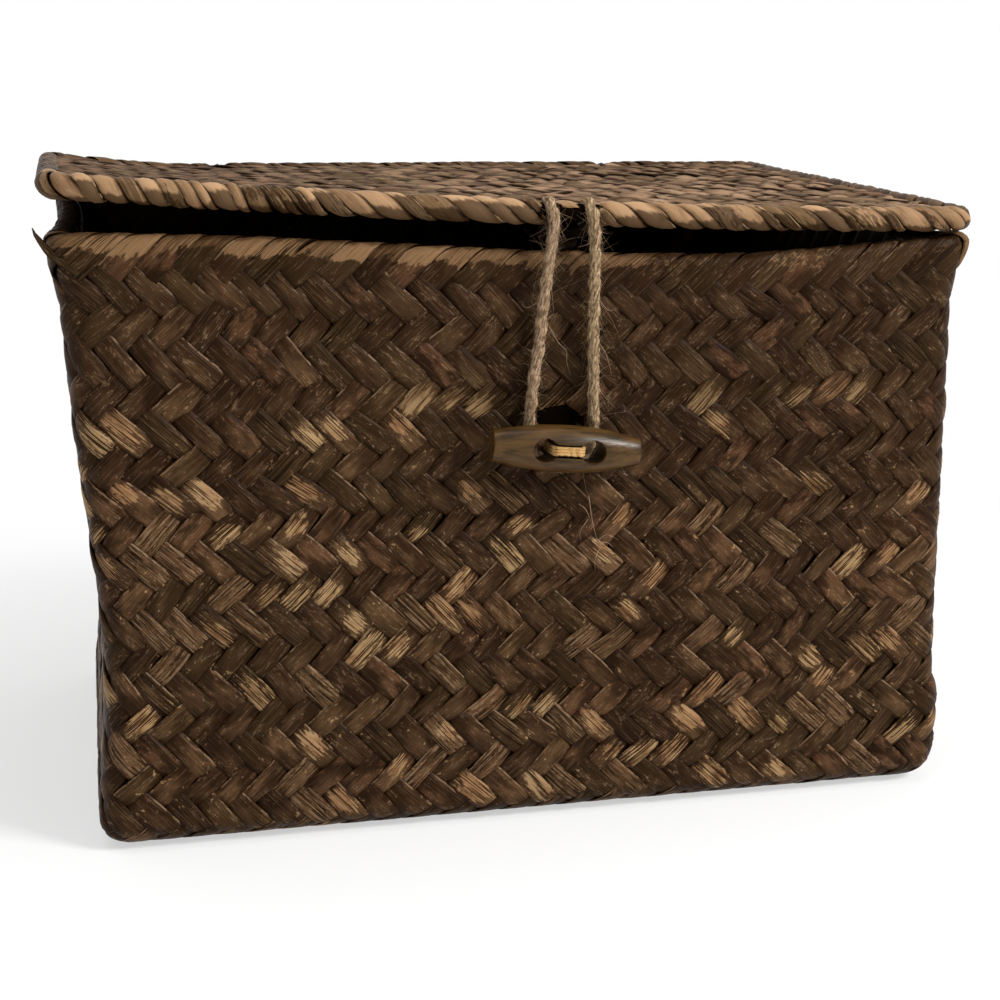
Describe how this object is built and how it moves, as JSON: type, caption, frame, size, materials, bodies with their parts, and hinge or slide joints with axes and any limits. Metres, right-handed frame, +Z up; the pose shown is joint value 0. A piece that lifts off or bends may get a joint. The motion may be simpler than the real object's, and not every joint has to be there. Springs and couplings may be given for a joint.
{
  "type": "lidded woven box",
  "caption": "Rectangular double-walled basket woven from flat plant strips, with a folded rim, a twine-hinged lid and a twine loop that hooks behind a wooden toggle.",
  "frame": {"origin": "middle of the base, on the ground that the box stands on", "axes": "+X to the box's right as its toggle side is looked at, +Y from the toggle side to the hinge side, +Z up"},
  "size_m": [0.26, 0.1984, 0.185],
  "materials": {
    "woven_strip": "dark brown flat plant strips woven in a bias twill, dull sheen",
    "rim_strip": "the same strips folded over the rim, paler along the fold",
    "lid_strip": "reddish brown woven strips, dull sheen",
    "roll_strip": "tan strips wrapped slantwise, with dark blotches",
    "twine": "natural plied plant-fibre twine, fuzzy",
    "dark_wood": "dark stained wood, semi-gloss",
    "pale_cord": "pale waxed cord"
  },
  "bodies": {
    "basket": {"outer_basket": "woven_strip", "inner_basket": "woven_strip", "rim_fold": "rim_strip", "hinge_tie_left": "twine", "hinge_tie_right": "twine"},
    "lid": {"lid_panel": "lid_strip", "lid_lining": "woven_strip", "lid_edge_roll": "roll_strip", "closing_knot": "twine"},
    "loop": {"closing_loop": "twine"},
    "toggle": {"toggle": "dark_wood", "toggle_stitch": "pale_cord"}
  },
  "joints": [
    {"name": "lid_hinge", "type": "hinge", "parent": "basket", "child": "lid", "pos_m": [-0.0016, 0.086, 0.1735], "axis": [-1, 0, 0], "range_deg": [0, 110], "deforming": ["closing_loop"]},
    {"name": "loop_swing", "type": "hinge", "parent": "lid", "child": "loop", "pos_m": [0.0072, -0.0915, 0.1722], "axis": [-1, 0, 0], "range_deg": [0, 150], "deforming": ["closing_loop"]},
    {"name": "toggle_turn", "type": "hinge", "parent": "basket", "child": "toggle", "pos_m": [0.0043, -0.0958, 0.1097], "axis": [0, 1, 0], "range_deg": [-90, 90], "deforming": ["closing_loop"]}
  ]
}
